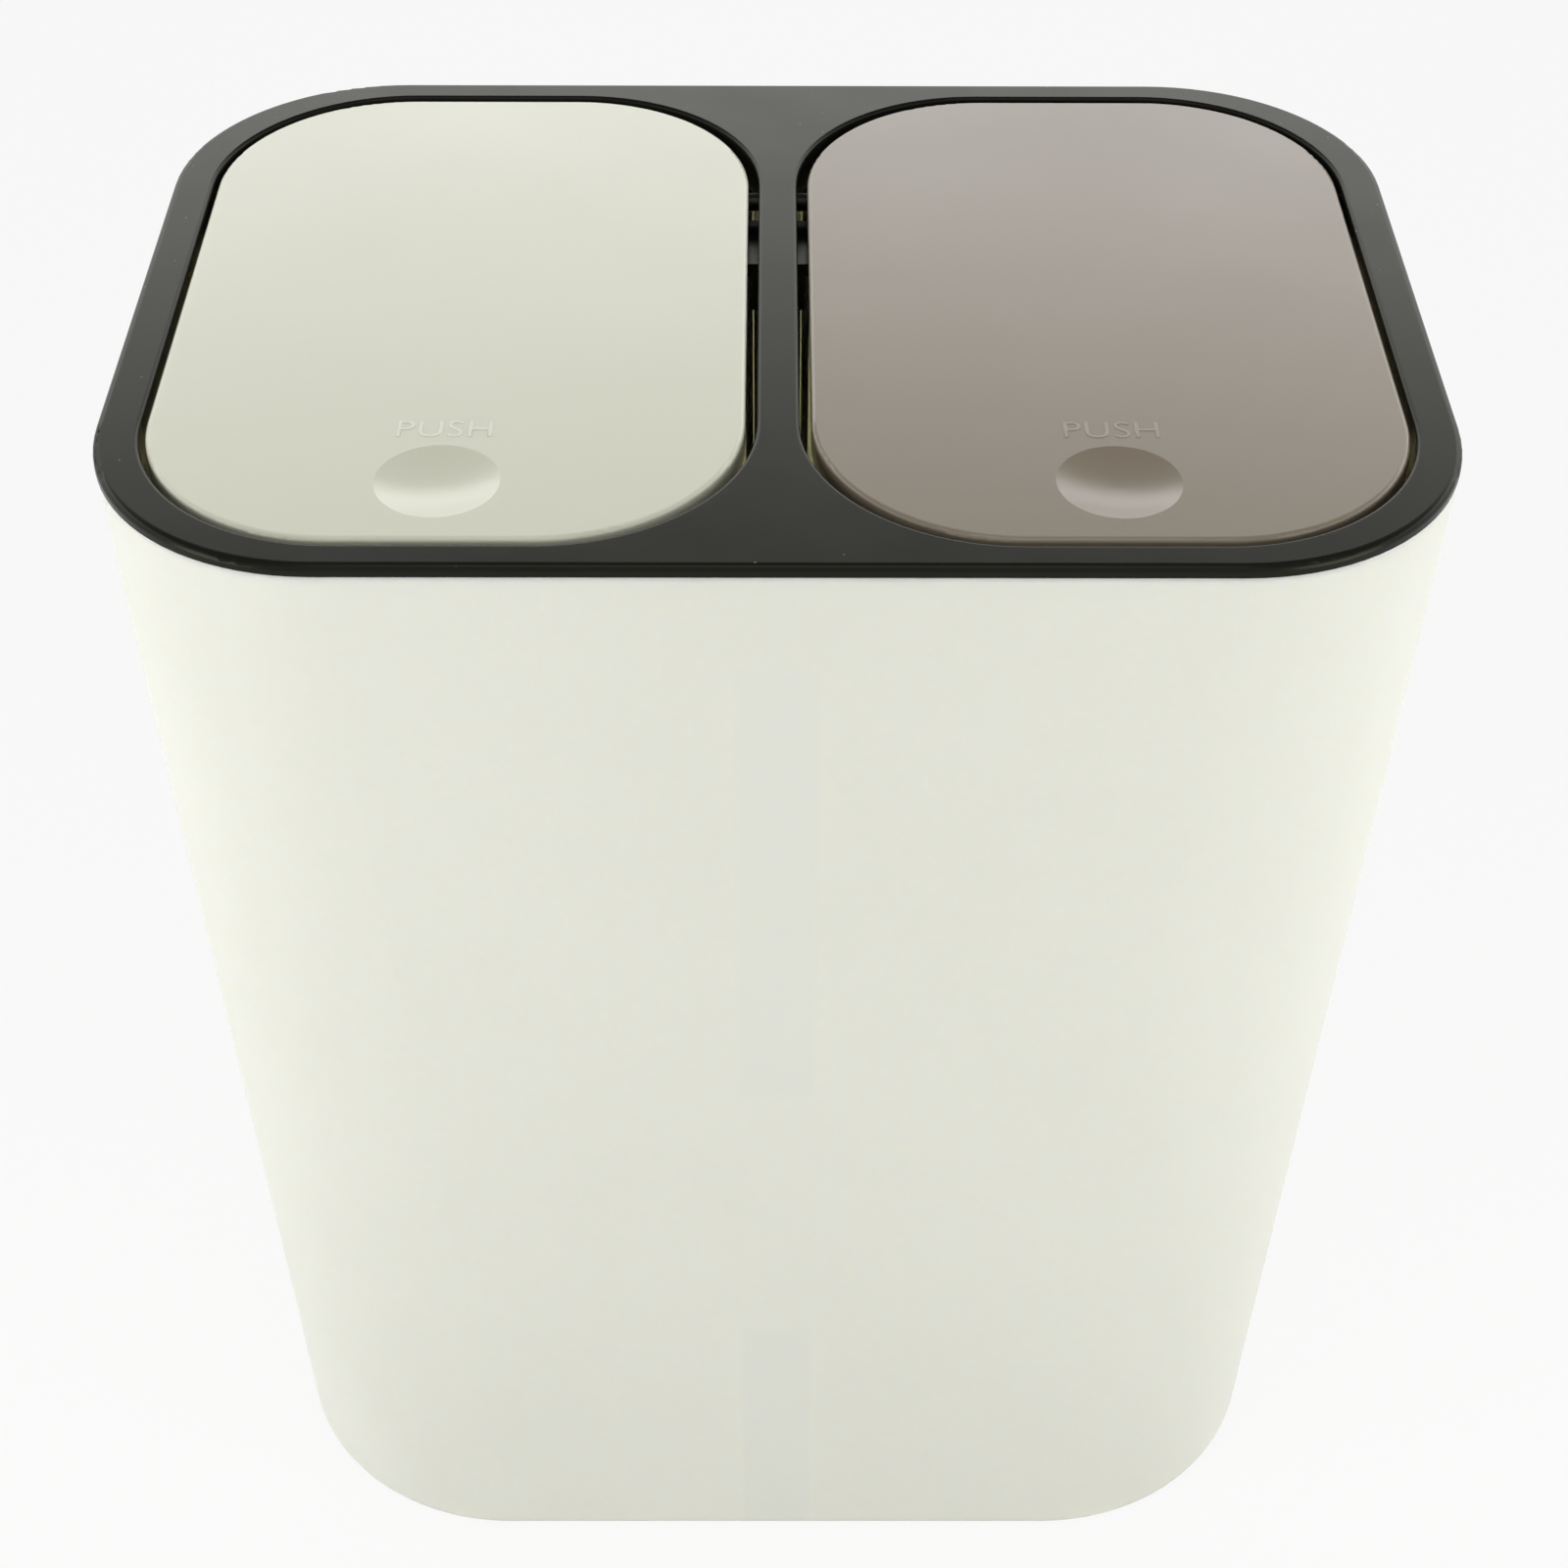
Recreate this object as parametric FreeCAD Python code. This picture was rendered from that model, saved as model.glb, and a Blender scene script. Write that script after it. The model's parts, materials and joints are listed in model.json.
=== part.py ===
"""Two-compartment recycling bin with a push-open lid over each compartment.

Millimetres. The origin is the centre of the base on the floor, +X is to the right,
-Y is the front and +Z is up. Pieces that come in a left and a right are drawn on the
right side and mirrored or moved to the left.
"""
import FreeCAD, Part
import math
import os
from FreeCAD import Vector

# Overall size
WIDTH = 265.0
DEPTH = 190.0
HEIGHT = 306.0
CORNER_RADIUS = 47.0
BASE_WIDTH = 246.0
BASE_DEPTH = 172.0
BASE_CORNER_RADIUS = 56.0

# Outer shell
SHELL_WALL = 2.2
FLOOR_THICKNESS = 2.5
FOOT_HEIGHT = 1.5
FOOT_WIDTH = 9.0
BASE_EDGE_RADIUS = 1.5

# Divider panel and the rib guides it slides in
GUIDE_RIB_THICKNESS = 1.8
GUIDE_RIB_REACH = 5.0
GUIDE_RIB_TOP_CLEARANCE = 1.0
UPPER_RIB_LENGTH = 112.0
LOWER_RIB_TOP = 78.0
DIVIDER_THICKNESS = 2.4
DIVIDER_FLANGE_WIDTH = 11.3
DIVIDER_FLANGE_THICKNESS = 2.0
DIVIDER_TOP_BEAD = 5.0
DIVIDER_GUIDE_CLEARANCE = 0.3
DIVIDER_TOP_CLEARANCE = 3.0

# Top frame
LIP_HEIGHT = 2.5
LIP_EDGE_RADIUS = 1.4
SKIRT_DEPTH = 28.0
SKIRT_WALL = 2.4
SKIRT_CLEARANCE = 0.4
BAR_WIDTH = 8.3
OPENING_MARGIN_SIDE = 8.65
OPENING_MARGIN_ENDS = 7.0
OPENING_RADIUS = 41.0
OPENING_EDGE_RADIUS = 0.8
COLLAR_DEPTH = 8.0
COLLAR_WALL = 2.2

# Lids
LID_GAP_INNER = 2.3
LID_GAP_OUTER = 1.2
LID_GAP_ENDS = 1.7
LID_THICKNESS = 2.0
LID_SKIRT_DEPTH = 6.0
LID_WALL = 1.8
LID_EDGE_RADIUS = 0.9
LID_RIB_THICKNESS = 1.4
LID_RIB_DEPTH = 3.0
LID_RIB_OFFSET = 30.0
LID_RIB_HINGE_GAP = 10.0
DIMPLE_DIAMETER = 24.0
DIMPLE_DEPTH = 1.5
DIMPLE_FROM_FRONT = 18.7
DIMPLE_EDGE_RADIUS = 0.5

# Lid hinges
HINGE_FROM_BACK = 44.0
HINGE_DROP = 6.5
ROD_DIAMETER = 4.0
ROD_CLEARANCE = 0.06
ROD_END_GAP = 0.8
EAR_RADIUS = 3.7
EAR_WIDTH = 6.0
BLOCK_LENGTH = 14.0
BLOCK_DEPTH = 22.0
GUSSET_WIDTH = 1.7

# Torsion springs
TORSION_WIRE = 1.0
TORSION_MEAN_RADIUS = 3.5
TORSION_PITCH = 1.5
TORSION_WHOLE_TURNS = 5
TORSION_LEG = 18.0
TORSION_EAR_GAP = 0.8
SPRING_SEAT_GAP = 0.05
TONGUE_THICKNESS = 3.0
TONGUE_SETBACK = 1.0
TONGUE_MARGIN = 2.0

# Push latches
LATCH_FROM_FRONT = 21.0
LATCH_TOP_DROP = 12.0
LATCH_HEIGHT = 32.0
LATCH_WALL = 2.0
LATCH_CAVITY_WIDTH = 12.0
LATCH_CAVITY_DEPTH = 9.0
LATCH_FRONT_TO_AXIS = 3.5
COVER_THICKNESS = 2.4
COVER_CLIP_THICKNESS = 1.2
COVER_CLIP_LENGTH = 7.0
COVER_CLIP_HEIGHT = 6.0
COVER_CLIP_CLEARANCE = 0.1
EAR_PLATE_THICKNESS = 2.5
EAR_PLATE_HEIGHT = 8.0
SCREW_OFFSET = 12.5
SCREW_DROP = 19.0
SCREW_SHANK_DIAMETER = 2.6
SCREW_LENGTH = 9.0
SCREW_HEAD_DIAMETER = 5.2
SCREW_HEAD_HEIGHT = 1.8
SCREW_SLOT_WIDTH = 0.8
SCREW_SLOT_DEPTH = 0.9
SCREW_CLEARANCE = 0.05
BOSS_DIAMETER = 7.0

# Plunger, its spring and its cam wire
PLUNGER_CLEARANCE = 0.3
PLUNGER_BLOCK_HEIGHT = 13.0
GRIP_HEIGHT = 7.0
GRIP_HOOK_HEIGHT = 2.0
GRIP_WIDTH = 6.0
PLUNGER_TOP_DROP = 14.0
CATCH_NECK_WIDTH = 4.6
CATCH_HEAD_WIDTH = 7.0
CATCH_HEAD_HEIGHT = 3.5
CATCH_HEAD_TIP_WIDTH = 4.0
CATCH_THICKNESS = 3.0
CATCH_CLEARANCE = 0.4
CATCH_SEAT_CLEARANCE = 0.6
LATCH_WIRE = 0.6
LATCH_SPRING_RADIUS = 1.8
LATCH_SPRING_TURNS = 5
LATCH_BORE_RADIUS = 2.4
LATCH_BORE_DEPTH = 6.0
CAM_DEPTH = 1.6
CAM_WIDTH = 7.0
CAM_HEIGHT = 11.0
CAM_MARGIN = 1.0
CAM_CORNER_RADIUS = 2.0
HEART_WIDTH = 3.4
HEART_HEIGHT = 4.4
HEART_NOTCH = 0.9
HEART_RISE = 2.6
CAM_WIRE = 1.0
CAM_WIRE_CLEARANCE = 0.2
CAM_PIVOT_RISE = 4.0

# Places worked out from the sizes above
RIM_Z = HEIGHT - LIP_HEIGHT
FLOOR_Z = FOOT_HEIGHT + FLOOR_THICKNESS
SKIRT_Z = HEIGHT - SKIRT_DEPTH
OPENING_IN = BAR_WIDTH / 2
OPENING_OUT = WIDTH / 2 - OPENING_MARGIN_SIDE
OPENING_HALF_Y = DEPTH / 2 - OPENING_MARGIN_ENDS
LID_IN = OPENING_IN + LID_GAP_INNER
LID_OUT = OPENING_OUT - LID_GAP_OUTER
LID_HALF_Y = OPENING_HALF_Y - LID_GAP_ENDS
LID_X = (LID_IN + LID_OUT) / 2
LID_RADIUS = OPENING_RADIUS - (LID_GAP_ENDS + LID_GAP_OUTER) / 2
LID_UNDERSIDE_Z = HEIGHT - LID_THICKNESS
DIMPLE_Y = DIMPLE_FROM_FRONT - LID_HALF_Y
HINGE_Y = DEPTH / 2 - HINGE_FROM_BACK
HINGE_Z = HEIGHT - HINGE_DROP
ROD_RADIUS = ROD_DIAMETER / 2
LATCH_Y = LATCH_FROM_FRONT - DEPTH / 2
LATCH_TOP_Z = HEIGHT - LATCH_TOP_DROP
LATCH_BOTTOM_Z = LATCH_TOP_Z - LATCH_HEIGHT
LATCH_CAVITY_FRONT_Y = LATCH_Y - LATCH_FRONT_TO_AXIS
LATCH_CAVITY_BACK_Y = LATCH_CAVITY_FRONT_Y + LATCH_CAVITY_DEPTH
LATCH_SEAT_Y = LATCH_CAVITY_FRONT_Y - LATCH_WALL
LATCH_FLOOR_Z = LATCH_BOTTOM_Z + LATCH_WALL
SCREW_Z = HEIGHT - SCREW_DROP
PLUNGER_HALF_X = LATCH_CAVITY_WIDTH / 2 - PLUNGER_CLEARANCE
PLUNGER_FRONT_Y = LATCH_CAVITY_FRONT_Y + PLUNGER_CLEARANCE
PLUNGER_BACK_Y = LATCH_CAVITY_BACK_Y - PLUNGER_CLEARANCE
PLUNGER_TOP_Z = HEIGHT - PLUNGER_TOP_DROP
GRIP_SEAT_Z = PLUNGER_TOP_Z - GRIP_HEIGHT
PLUNGER_BOTTOM_Z = GRIP_SEAT_Z - PLUNGER_BLOCK_HEIGHT
CATCH_HEAD_TOP_Z = PLUNGER_TOP_Z - GRIP_HOOK_HEIGHT - CATCH_SEAT_CLEARANCE
CAM_TOP_Z = GRIP_SEAT_Z - CAM_MARGIN
CAM_FLOOR_Y = PLUNGER_BACK_Y - CAM_DEPTH
HEART_BOTTOM_Z = CAM_TOP_Z - CAM_HEIGHT + HEART_RISE
HEART_TOP_Z = HEART_BOTTOM_Z + HEART_HEIGHT
CAM_TIP_Z = HEART_TOP_Z - HEART_NOTCH + CAM_WIRE / 2 + CAM_WIRE_CLEARANCE
CAM_WIRE_Y = LATCH_CAVITY_BACK_Y + CAM_WIRE / 2 + CAM_WIRE_CLEARANCE
CAM_PIVOT_Z = LATCH_BOTTOM_Z + CAM_PIVOT_RISE

OVERSHOOT = 1.0
X_AXIS = Vector(1, 0, 0)
Y_AXIS = Vector(0, 1, 0)
Z_AXIS = Vector(0, 0, 1)


def box(x_low, x_high, y_low, y_high, z_low, z_high):
    corner = Vector(x_low, y_low, z_low)
    return Part.makeBox(x_high - x_low, y_high - y_low, z_high - z_low, corner)


def rounded_wire(x_low, x_high, y_low, y_high, radius, z):
    """Rectangle with round corners, lying level at height z."""
    edges = []
    arc_ends = []
    corners = (
        (x_high, y_high, -1, -1),
        (x_low, y_high, 1, -1),
        (x_low, y_low, 1, 1),
        (x_high, y_low, -1, 1),
    )
    for turn, (x, y, inward_x, inward_y) in enumerate(corners):
        centre = Vector(x + inward_x * radius, y + inward_y * radius, z)
        angles = [math.radians(90 * turn + step) for step in (0, 45, 90)]
        points = [centre + Vector(math.cos(a), math.sin(a), 0) * radius for a in angles]
        edges.append(Part.Arc(*points).toShape())
        arc_ends.append((points[0], points[2]))
    for turn in range(4):
        edges.append(Part.makeLine(arc_ends[turn][1], arc_ends[(turn + 1) % 4][0]))
    return Part.Wire(Part.__sortEdges__(edges))


def rounded_prism(x_low, x_high, y_low, y_high, radius, z_low, z_high):
    face = Part.Face(rounded_wire(x_low, x_high, y_low, y_high, radius, z_low))
    return face.extrude(Z_AXIS * (z_high - z_low))


def half_depth_at(z, inset):
    return (BASE_DEPTH + (DEPTH - BASE_DEPTH) * z / HEIGHT) / 2 - inset


def outline_wire(z, inset):
    """The bin's tapering plan outline at height z, moved inwards by inset."""
    share = z / HEIGHT
    half_x = (BASE_WIDTH + (WIDTH - BASE_WIDTH) * share) / 2 - inset
    half_y = half_depth_at(z, inset)
    radius = BASE_CORNER_RADIUS + (CORNER_RADIUS - BASE_CORNER_RADIUS) * share - inset
    return rounded_wire(-half_x, half_x, -half_y, half_y, radius, z)


def tapered_solid(z_low, z_high, inset):
    return Part.makeLoft([outline_wire(z_low, inset), outline_wire(z_high, inset)], True, True)


def plate_yz(points, x_low, x_high):
    """Flat plate from a list of (y, z) corners, as thick as x_low to x_high."""
    corners = [Vector(x_low, y, z) for y, z in points]
    face = Part.Face(Part.makePolygon(corners + corners[:1]))
    return face.extrude(X_AXIS * (x_high - x_low))


def plate_xz(points, y_low, y_high):
    """Flat plate from a list of (x, z) corners, as thick as y_low to y_high."""
    corners = [Vector(x, y_low, z) for x, z in points]
    face = Part.Face(Part.makePolygon(corners + corners[:1]))
    return face.extrude(Y_AXIS * (y_high - y_low))


def level_edges(solid, z):
    return [edge for edge in solid.Edges if all(abs(vertex.Z - z) < 1e-6 for vertex in edge.Vertexes)]


def mirrored(shape):
    return shape.mirror(Vector(0, 0, 0), X_AXIS)


def wall_strip(facing, inner, outer, z_low, z_high, x_low, x_high):
    """Plate beside the front or back wall, between two insets from the bin's outline."""
    points = [
        (facing * half_depth_at(z_low, outer), z_low),
        (facing * half_depth_at(z_high, outer), z_high),
        (facing * half_depth_at(z_high, inner), z_high),
        (facing * half_depth_at(z_low, inner), z_low),
    ]
    return plate_yz(points, x_low, x_high)


def make_outer_shell():
    """Tapered tub with a foot ring under its floor and rib guides on its front and back walls."""
    outer = tapered_solid(0, RIM_Z, 0)
    outer = outer.makeFillet(BASE_EDGE_RADIUS, level_edges(outer, 0))
    shell = outer.cut(tapered_solid(FLOOR_Z, HEIGHT, SHELL_WALL))
    foot = Part.Face(outline_wire(0, FOOT_WIDTH + BASE_EDGE_RADIUS)).extrude(Z_AXIS * FOOT_HEIGHT)
    shell = shell.cut(foot)
    channel_half = DIVIDER_FLANGE_WIDTH / 2 + DIVIDER_GUIDE_CLEARANCE
    upper_top = SKIRT_Z - GUIDE_RIB_TOP_CLEARANCE
    spans = ((FLOOR_Z, LOWER_RIB_TOP), (upper_top - UPPER_RIB_LENGTH, upper_top))
    ribs = []
    for facing in (-1, 1):
        for side_low in (channel_half, -channel_half - GUIDE_RIB_THICKNESS):
            side_high = side_low + GUIDE_RIB_THICKNESS
            for z_low, z_high in spans:
                reach = SHELL_WALL + GUIDE_RIB_REACH
                ribs.append(wall_strip(facing, SHELL_WALL / 2, reach, z_low, z_high, side_low, side_high))
    return shell.fuse(ribs).removeSplitter()


def make_divider_panel():
    """Upright panel with flanged edges that slide in the guides, standing on the floor."""
    top = SKIRT_Z - DIVIDER_TOP_CLEARANCE
    edge = SHELL_WALL + DIVIDER_GUIDE_CLEARANCE
    web_points = [
        (-half_depth_at(FLOOR_Z, edge), FLOOR_Z),
        (half_depth_at(FLOOR_Z, edge), FLOOR_Z),
        (half_depth_at(top, edge), top),
        (-half_depth_at(top, edge), top),
    ]
    panel = plate_yz(web_points, -DIVIDER_THICKNESS / 2, DIVIDER_THICKNESS / 2)
    flange_half = DIVIDER_FLANGE_WIDTH / 2
    flange_inner = edge + DIVIDER_FLANGE_THICKNESS
    for facing in (-1, 1):
        panel = panel.fuse(wall_strip(facing, edge, flange_inner, FLOOR_Z, top, -flange_half, flange_half))
    bead_half_y = half_depth_at(top, edge + DIVIDER_FLANGE_THICKNESS / 2)
    bead_half_x = DIVIDER_TOP_BEAD / 2
    bead = box(-bead_half_x, bead_half_x, -bead_half_y, bead_half_y, top - DIVIDER_TOP_BEAD, top)
    return panel.fuse(bead).removeSplitter()


def opening_prism(z_low, z_high, grow):
    """Right-hand opening's outline as a block, grown outwards by grow."""
    return rounded_prism(
        OPENING_IN - grow,
        OPENING_OUT + grow,
        -OPENING_HALF_Y - grow,
        OPENING_HALF_Y + grow,
        OPENING_RADIUS + grow,
        z_low,
        z_high,
    )


def torsion_x_low():
    return LID_IN + EAR_WIDTH + TORSION_EAR_GAP + TORSION_WIRE / 2


def torsion_x_high():
    return torsion_x_low() + TORSION_PITCH * (TORSION_WHOLE_TURNS + 0.5)


def make_frame_plate():
    """Flat top of the frame with its two openings, edges rounded over."""
    plate = Part.Face(outline_wire(HEIGHT, 0)).extrude(Z_AXIS * -LIP_HEIGHT)
    opening = opening_prism(RIM_Z - OVERSHOOT, HEIGHT + OVERSHOOT, 0)
    plate = plate.cut([opening, mirrored(opening)])
    top_face = max(plate.Faces, key=lambda face: face.CenterOfMass.z)
    plate = plate.makeFillet(LIP_EDGE_RADIUS, top_face.OuterWire.Edges)
    top_face = max(plate.Faces, key=lambda face: face.CenterOfMass.z)
    outer_wire = top_face.OuterWire
    rims = [wire for wire in top_face.Wires if not wire.isSame(outer_wire)]
    return plate.makeFillet(OPENING_EDGE_RADIUS, [edge for rim in rims for edge in rim.Edges])


def make_right_hinge_seats():
    """Bearing block under the bar and bearing boss at the outer side of the right opening."""
    block_low = HINGE_Y - BLOCK_LENGTH / 2
    block_high = HINGE_Y + BLOCK_LENGTH / 2
    block_bottom = HEIGHT - BLOCK_DEPTH
    block = box(0, OPENING_IN + OVERSHOOT, block_low, block_high, block_bottom, RIM_Z)
    boss_outer = WIDTH / 2 - SHELL_WALL - SKIRT_CLEARANCE - SKIRT_WALL / 2
    boss_bottom = HINGE_Z - EAR_RADIUS
    boss = box(OPENING_OUT - COLLAR_WALL, boss_outer, block_low, block_high, boss_bottom, RIM_Z)
    boss = boss.common(tapered_solid(SKIRT_Z, RIM_Z, SHELL_WALL + SKIRT_CLEARANCE))
    return block.fuse(boss).cut(opening_prism(block_bottom - OVERSHOOT, HEIGHT, 0))


def make_right_spring_rest():
    """Tongue that the torsion spring's fixed leg presses on, with a gusset under it."""
    tongue_top = HINGE_Z - TORSION_MEAN_RADIUS - TORSION_WIRE / 2 - SPRING_SEAT_GAP
    tongue_front = HINGE_Y - TORSION_LEG - TONGUE_MARGIN
    tongue_back = HINGE_Y - TONGUE_SETBACK
    tongue_end = torsion_x_low() + TONGUE_MARGIN
    gusset_end = OPENING_IN + GUSSET_WIDTH
    tongue = box(0, tongue_end, tongue_front, tongue_back, tongue_top - TONGUE_THICKNESS, tongue_top)
    gusset = box(0, gusset_end, tongue_front, tongue_back, HEIGHT - BLOCK_DEPTH, tongue_top)
    return tongue.fuse(gusset)


def make_top_frame():
    """Frame that plugs into the shell and carries both lids and both latches."""
    plug_inset = SHELL_WALL + SKIRT_CLEARANCE
    plug = tapered_solid(SKIRT_Z, RIM_Z, plug_inset)
    skirt = plug.cut(tapered_solid(SKIRT_Z, RIM_Z, plug_inset + SKIRT_WALL))
    collar_z = HEIGHT - COLLAR_DEPTH
    collar = opening_prism(collar_z, RIM_Z, COLLAR_WALL).cut(opening_prism(collar_z, RIM_Z, 0))
    right_side = collar.common(plug).fuse([make_right_hinge_seats(), make_right_spring_rest()])
    boss_start = -half_depth_at(SCREW_Z, plug_inset + SKIRT_WALL / 2)
    for side in (-1, 1):
        boss_base = Vector(LID_X + side * SCREW_OFFSET, boss_start, SCREW_Z)
        right_side = right_side.fuse(
            Part.makeCylinder(BOSS_DIAMETER / 2, LATCH_SEAT_Y - boss_start, boss_base, Y_AXIS)
        )
    frame = make_frame_plate().fuse([skirt, right_side, mirrored(right_side)])
    rod_start = Vector(ROD_END_GAP, HINGE_Y, HINGE_Z)
    rod_hole = Part.makeCylinder(ROD_RADIUS + ROD_CLEARANCE, WIDTH / 2, rod_start, X_AXIS)
    cutters = [rod_hole, mirrored(rod_hole)]
    pilot_radius = SCREW_SHANK_DIAMETER / 2 + SCREW_CLEARANCE
    pilot_depth = SCREW_LENGTH - EAR_PLATE_THICKNESS + SCREW_CLEARANCE
    for centre_x in (-LID_X, LID_X):
        for side in (-1, 1):
            pilot_start = Vector(centre_x + side * SCREW_OFFSET, LATCH_SEAT_Y - pilot_depth, SCREW_Z)
            cutters.append(Part.makeCylinder(pilot_radius, pilot_depth + OVERSHOOT, pilot_start, Y_AXIS))
    return frame.cut(cutters).removeSplitter()


def lid_prism(z_low, z_high, inset):
    return rounded_prism(
        LID_IN + inset,
        LID_OUT - inset,
        -LID_HALF_Y + inset,
        LID_HALF_Y - inset,
        LID_RADIUS - inset,
        z_low,
        z_high,
    )


def make_right_ears():
    """Round hinge ears inside the lid's two long sides, bored for the rod."""
    bottom = HINGE_Z - EAR_RADIUS
    profile = box(LID_IN, LID_OUT, HINGE_Y - EAR_RADIUS, HINGE_Y + EAR_RADIUS, HINGE_Z, LID_UNDERSIDE_Z)
    barrel_start = Vector(LID_IN, HINGE_Y, HINGE_Z)
    profile = profile.fuse(Part.makeCylinder(EAR_RADIUS, LID_OUT - LID_IN, barrel_start, X_AXIS))
    between = box(
        LID_IN + EAR_WIDTH,
        LID_OUT - EAR_WIDTH,
        HINGE_Y - EAR_RADIUS - OVERSHOOT,
        HINGE_Y + EAR_RADIUS + OVERSHOOT,
        bottom - OVERSHOOT,
        HEIGHT,
    )
    return profile.cut(between).common(lid_prism(bottom - OVERSHOOT, HEIGHT, 0))


def make_right_catch():
    """Arrow-headed tab under the dimple that the latch's plunger grips."""
    y_low = LATCH_Y - CATCH_THICKNESS / 2
    y_high = LATCH_Y + CATCH_THICKNESS / 2
    root_z = HEIGHT - LID_THICKNESS - DIMPLE_DEPTH / 4
    neck_half = CATCH_NECK_WIDTH / 2
    neck = box(LID_X - neck_half, LID_X + neck_half, y_low, y_high, CATCH_HEAD_TOP_Z, root_z)
    head_points = [
        (LID_X - CATCH_HEAD_WIDTH / 2, CATCH_HEAD_TOP_Z),
        (LID_X + CATCH_HEAD_WIDTH / 2, CATCH_HEAD_TOP_Z),
        (LID_X + CATCH_HEAD_TIP_WIDTH / 2, CATCH_HEAD_TOP_Z - CATCH_HEAD_HEIGHT),
        (LID_X - CATCH_HEAD_TIP_WIDTH / 2, CATCH_HEAD_TOP_Z - CATCH_HEAD_HEIGHT),
    ]
    return neck.fuse(plate_xz(head_points, y_low, y_high))


def make_right_stiffeners():
    """Two long ribs and a cross rib between them, under the lid in front of its hinge."""
    half = LID_RIB_THICKNESS / 2
    low = LID_UNDERSIDE_Z - LID_RIB_DEPTH
    high = LID_UNDERSIDE_Z + LID_THICKNESS / 4
    front = -LID_HALF_Y
    back = HINGE_Y - LID_RIB_HINGE_GAP
    middle = (front + back) / 2
    left = LID_X - LID_RIB_OFFSET
    right = LID_X + LID_RIB_OFFSET
    ribs = box(left, right, middle - half, middle + half, low, high)
    for x in (left, right):
        ribs = ribs.fuse(box(x - half, x + half, front, back, low, high))
    return ribs.common(lid_prism(low, high, LID_WALL / 2))


def make_right_lid():
    """Shallow tray-shaped lid with a finger dimple, ribs, hinge ears and a catch."""
    skirt_z = HEIGHT - LID_SKIRT_DEPTH
    lid = lid_prism(skirt_z, HEIGHT, 0)
    lid = lid.makeFillet(LID_EDGE_RADIUS, level_edges(lid, HEIGHT))
    lid = lid.cut(lid_prism(skirt_z - OVERSHOOT, LID_UNDERSIDE_Z, LID_WALL))
    dimple_half = DIMPLE_DIAMETER / 2
    ball_radius = (dimple_half ** 2 + DIMPLE_DEPTH ** 2) / (2 * DIMPLE_DEPTH)
    ball_centre = Vector(LID_X, DIMPLE_Y, HEIGHT + ball_radius - DIMPLE_DEPTH)
    bulge = Part.makeSphere(ball_radius + LID_THICKNESS, ball_centre)
    bulge_zone = lid_prism(skirt_z, LID_UNDERSIDE_Z + LID_THICKNESS / 4, LID_WALL / 2)
    seat_top = HINGE_Z + TORSION_MEAN_RADIUS + TORSION_WIRE / 2 + SPRING_SEAT_GAP
    seat = box(
        torsion_x_high() - TONGUE_MARGIN,
        torsion_x_high() + TONGUE_MARGIN,
        HINGE_Y - TORSION_LEG - TONGUE_MARGIN,
        HINGE_Y - TORSION_LEG / 2,
        seat_top,
        LID_UNDERSIDE_Z + LID_THICKNESS / 4,
    )
    fittings = [make_right_ears(), make_right_catch(), make_right_stiffeners(), seat]
    lid = lid.fuse([bulge.common(bulge_zone)] + fittings)
    lid = lid.cut(Part.makeSphere(ball_radius, ball_centre))
    bore_start = Vector(0, HINGE_Y, HINGE_Z)
    bore = Part.makeCylinder(ROD_RADIUS + ROD_CLEARANCE, WIDTH / 2, bore_start, X_AXIS)
    lid = lid.cut(bore).removeSplitter()
    dimple_rim = [
        edge for edge in level_edges(lid, HEIGHT)
        if isinstance(edge.Curve, Part.Circle) and abs(edge.Curve.Radius - dimple_half) < 1e-3
    ]
    return lid.makeFillet(DIMPLE_EDGE_RADIUS, dimple_rim)


def make_right_hinge_rod():
    """Steel rod from the block under the bar to just inside the skirt's outer face."""
    outer_end = WIDTH / 2 - SHELL_WALL - SKIRT_CLEARANCE - ROD_END_GAP
    start = Vector(ROD_END_GAP + ROD_CLEARANCE, HINGE_Y, HINGE_Z)
    return Part.makeCylinder(ROD_RADIUS, outer_end - start.x, start, X_AXIS)


def tangent_arc(start, corner, end):
    """Arc from start to end whose end tangents meet at corner."""
    middle = (start + end) * 0.5
    half_chord = (end - start).Length / 2
    half_turn = math.acos(half_chord / (corner - start).Length)
    outwards = (corner - middle).normalize()
    return Part.Arc(start, middle + outwards * (half_chord * math.tan(half_turn / 2)), end).toShape()


def biarc(start, start_heading, end, end_heading):
    """Two smoothly joined arcs that leave and arrive along the given headings."""
    span = end - start
    square = 2 * start_heading.dot(end_heading) - 2
    linear = -2 * span.dot(start_heading + end_heading)
    reach = (-linear - math.sqrt(linear ** 2 - 4 * square * span.dot(span))) / (2 * square)
    first_corner = start + start_heading * reach
    last_corner = end - end_heading * reach
    joint = (first_corner + last_corner) * 0.5
    return [tangent_arc(start, first_corner, joint), tangent_arc(joint, last_corner, end)]


def wound_edges(places, headings):
    """One unbroken run of biarcs through the quarter-turn places of a coil."""
    edges = []
    for step in range(len(places) - 1):
        edges += biarc(places[step], headings[step], places[step + 1], headings[step + 1])
    return edges


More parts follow.
